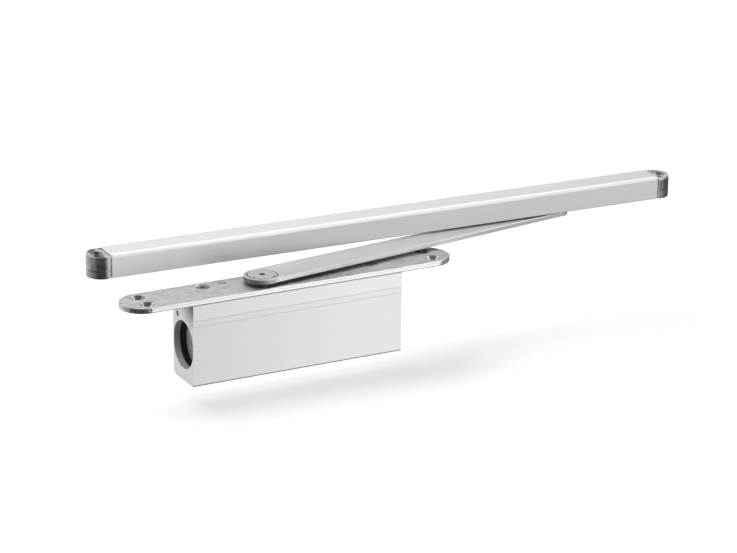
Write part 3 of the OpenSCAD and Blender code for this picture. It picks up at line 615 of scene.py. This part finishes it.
def eased(node, width, segments=2, share=None):
    """A copy of a solid with its sharp edges broken by a small round.

    share(x, y, z), in millimetres, scales the round by the middle of each edge.
    """
    source = frame["nodes"][node]
    mesh = source.data.copy()
    work = welded(source)
    bmesh.ops.dissolve_limit(work, angle_limit=FLAT, verts=work.verts, edges=work.edges)
    for face in work.faces:
        face.smooth = True
    work.edges.index_update()
    angles = np.array([e.calc_face_angle(0.0) for e in work.edges])
    work.to_mesh(mesh)
    work.free()
    if mesh.attributes.get("custom_normal"):
        mesh.attributes.remove(mesh.attributes["custom_normal"])
    ends = np.empty(len(mesh.edges) * 2, dtype=np.int32)
    mesh.edges.foreach_get("vertices", ends)
    points = np.empty(len(mesh.vertices) * 3)
    mesh.vertices.foreach_get("co", points)
    middle = points.reshape(-1, 3)[ends.reshape(-1, 2)].mean(axis=1) / MM
    scale = share(*middle.T) if share else 1.0
    weights = mesh.attributes.new("bevel_weight_edge", "FLOAT", "EDGE")
    weights.data.foreach_set("value", np.where(angles > SHARP, scale, 0.0))
    piece = linked(node + "_eased", mesh)
    bevel = piece.modifiers.new("edges", "BEVEL")
    bevel.width = width
    bevel.segments = segments
    bevel.limit_method = "WEIGHT"
    bevel.use_clamp_overlap = True
    facing = piece.modifiers.new("facing", "WEIGHTED_NORMAL")
    facing.mode = "FACE_AREA"
    facing.weight = 50
    facing.keep_sharp = True
    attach(piece, source["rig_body"])
    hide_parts(node)


def sprung(node):
    """A copy of a spring with its coincident vertices joined, in place of the hidden solid.
    """
    source = frame["nodes"][node]
    mesh = source.data.copy()
    work = welded(source)
    work.to_mesh(mesh)
    work.free()
    piece = linked(node + "_turns", mesh)
    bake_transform(piece)
    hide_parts(node)


def housing_share(x, y, z):
    """The long edges under the plate have a wider round than the others."""
    side = HOUSING_SIDE / MM
    return np.where((np.abs(z) < 0.5) & (np.abs(np.abs(y) - side) < 0.5), 2.4, 1.0)


def plate_share(x, y, z):
    """The plate's outline has the whole round, more at its foot, and its holes a fifth."""
    straight = (PLATE_HALF - PLATE_RADIUS) / MM
    reach = np.hypot(x - np.clip(x, -straight, straight), y)
    outline = reach > PLATE_RADIUS / MM - 1.5
    return np.where(outline, np.where(z < 1.0, 1.35, 0.9), 0.2)


def rail_share(x, y, z):
    """The cut ends of the rail have a wider round."""
    middle_x, middle_y = RAIL_MIDDLE
    across = (y - middle_y / MM) * math.sin(RAIL_TURN)
    along = (x - middle_x / MM) * math.cos(RAIL_TURN) + across
    return np.where(np.abs(along) > RAIL_HALF / MM, 2.4, 1.0)


eased("housing", 0.00025, share=housing_share)
eased("face_plate", 0.00095, segments=4, share=plate_share)
eased("arm", 0.00060, segments=3)
eased("rail", 0.0002, share=rail_share)
eased("left_rail_cap", 0.00035)
eased("right_rail_cap", 0.00035)
eased("arm_screw", 0.00025)
sprung("return_spring")
sprung("follower_spring")


# Stage: pale floor, soft studio light, white surroundings
FLOOR_Z = -0.0765
FLOOR_SIZE = 12.0
FLOOR_TONE = 0.80
FLOOR_GLOW = 0.55
STUDIO_LEVEL = 0.77
# Direction, cosine at the border, cosine where it is full, and strength
STUDIO_LIGHTS = (
    ((0.453, -0.830, -0.327), 0.933, 0.988, 0.463),
    ((0.453, -0.830, 0.327), 0.940, 0.995, 1.0),
    ((0.250, -0.351, 0.903), 0.613, 0.691, 1.605),
    ((-0.365, 0.247, 0.898), 0.516, 0.846, 1.082),
)
STUDIO_SHADES = (
    ((-0.821, -0.467, 0.328), -0.155, 0.695, 0.62),
    ((-0.232, -0.425, 0.875), 0.634, 0.682, 0.802),
    ((0.944, 0.054, -0.326), 0.686, 0.735, 0.661),
    ((0.200, 0.300, -0.930), 0.535, 0.97, 0.385),
)
FILL = 0.22
SUN_STRENGTH = 1.75
SUN_SPREAD = math.radians(46)
SUN_AIM = (0.35, -0.41, -1.0)
SENSOR = 36.0
LENS = 153.277
CAMERA_AT = (-0.93350, -1.82745, 0.71384)
CAMERA_ANGLES = (28.6159, 19.0557, 0.7509)


def plane(name, size, at):
    half = size / 2
    corners = [(-half, -half, 0), (half, -half, 0), (half, half, 0), (-half, half, 0)]
    mesh = bpy.data.meshes.new(name)
    mesh.from_pydata(corners, [], [(0, 1, 2, 3)])
    made = linked(name, mesh)
    made.location = at
    return made


def lobe(f, middle, edge, full):
    """One near a middle direction, zero past the edge, with a smooth step between."""
    aim = tuple(Vector(middle).normalized())
    directions = {0: f.place, 1: aim}
    dot = f.node("ShaderNodeVectorMath", {"operation": "DOT_PRODUCT"}, directions, output=1)
    share = dot.rising(edge, 1.0 / (full - edge))
    return share * share * (3.0 - share * 2.0)


def studio(f):
    """Brightness that polished metal meets in each direction: lights in front on the
    right and overhead, shade on the left and low on the right.
    """
    level = STUDIO_LEVEL
    for middle, edge, full, strength in STUDIO_LIGHTS:
        level = lobe(f, middle, edge, full) * strength + level
    for middle, edge, full, strength in STUDIO_SHADES:
        level = level * (1 - lobe(f, middle, edge, full) * strength)
    return level


def ray(f, kind):
    """One for rays of a kind, zero for the others."""
    return f.node("ShaderNodeLightPath", output=kind)


floor = plane("floor", FLOOR_SIZE, (0, 0, FLOOR_Z))
floor.visible_glossy = False
made, f = material("floor_pale")
seen = ray(f, "Is Camera Ray").most(ray(f, "Is Transmission Ray"))
paint = f.node("ShaderNodeBsdfDiffuse", {}, {"Color": (FLOOR_TONE, FLOOR_TONE, FLOOR_TONE, 1)})
glow = f.node("ShaderNodeEmission", {}, {"Color": (1, 1, 1, 1), "Strength": seen * FLOOR_GLOW})
both = f.node("ShaderNodeAddShader", {}, {0: paint, 1: glow})
f.node("ShaderNodeOutputMaterial", {}, {"Surface": both})
floor.data.materials.append(made)

world = bpy.data.worlds.new("surroundings")
bpy.context.scene.world = world
world.use_nodes = True
f = Finish(world.node_tree)
seen = ray(f, "Is Camera Ray")
mirrored = ray(f, "Is Glossy Ray")
strength = seen + (1 - seen) * (mirrored * studio(f) + (1 - mirrored) * FILL)
white = f.node("ShaderNodeBackground", {}, {"Color": (1, 1, 1, 1), "Strength": strength})
f.node("ShaderNodeOutputWorld", {}, {"Surface": white})

sun = bpy.data.lights.new("soft_sun", "SUN")
sun.energy = SUN_STRENGTH
sun.angle = SUN_SPREAD
sun_lamp = linked("soft_sun", sun)
sun_lamp.rotation_euler = Vector(SUN_AIM).to_track_quat("-Z", "Y").to_euler()
sun_lamp.visible_glossy = False

camera_data = bpy.data.cameras.new("photo_view")
camera_data.sensor_fit = "HORIZONTAL"
camera_data.sensor_width = SENSOR
camera_data.lens = LENS
camera_data.clip_end = 50.0
camera = linked("photo_view", camera_data)
yaw, pitch, roll = (math.radians(a) for a in CAMERA_ANGLES)
level = Vector((math.sin(yaw), math.cos(yaw), 0.0))
ahead = level * math.cos(pitch) - Vector((0.0, 0.0, math.sin(pitch)))
right = Vector((math.cos(yaw), -math.sin(yaw), 0.0))
above = right.cross(ahead)
across = right * math.cos(roll) + above * math.sin(roll)
upward = above * math.cos(roll) - right * math.sin(roll)
turn = Matrix((across, upward, -ahead)).transposed().to_4x4()
camera.matrix_world = Matrix.Translation(CAMERA_AT) @ turn
bpy.context.scene.camera = camera

bpy.context.scene.view_settings.view_transform = "Standard"
